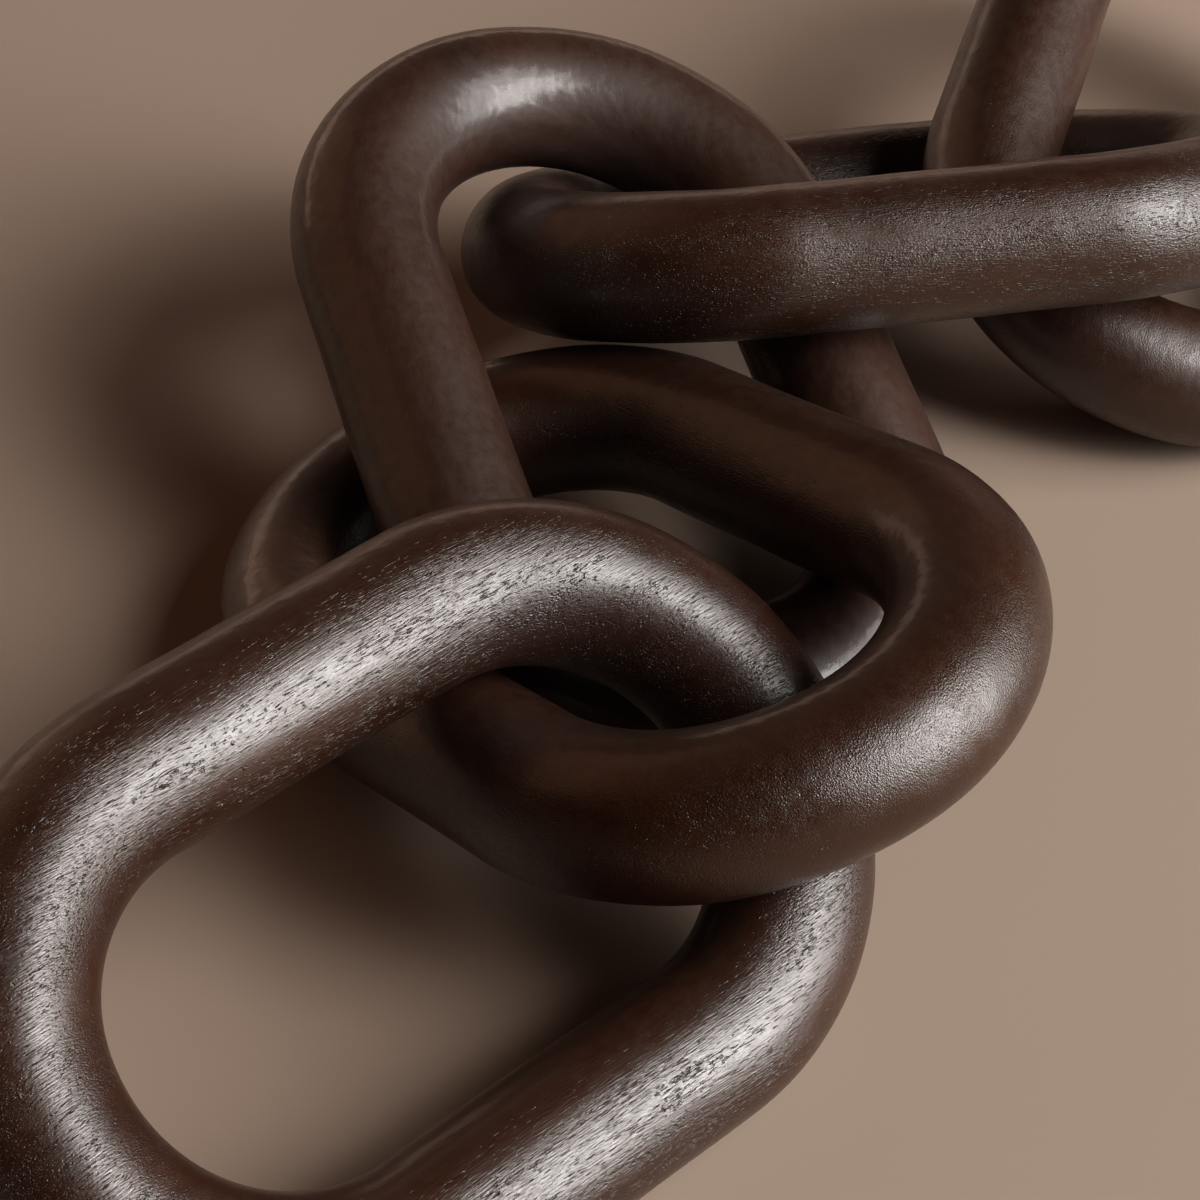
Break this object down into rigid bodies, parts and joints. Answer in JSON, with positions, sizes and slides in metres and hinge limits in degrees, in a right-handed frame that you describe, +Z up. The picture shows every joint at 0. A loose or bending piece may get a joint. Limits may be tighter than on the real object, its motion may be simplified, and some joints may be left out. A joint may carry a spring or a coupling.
{
  "type": "wooden chain",
  "caption": "Decorative chain of interlocked rounded wooden rings in dark stained open-pored wood, lying loosely piled.",
  "frame": {"origin": "on the surface that the chain lies on, under the middle of the pile's footprint", "axes": "+Z up from the surface; +Y away from the viewer of the picture; +X to that viewer's right"},
  "size_m": [0.2566, 0.3362, 0.0649],
  "materials": {
    "stained_wood": "dark brown-black stain on open-pored wood, satin to semi-gloss lacquer"
  },
  "bodies": {
    "root": {"link_1": "stained_wood", "link_2": "stained_wood", "link_3": "stained_wood", "link_4": "stained_wood", "link_5": "stained_wood"}
  },
  "joints": []
}
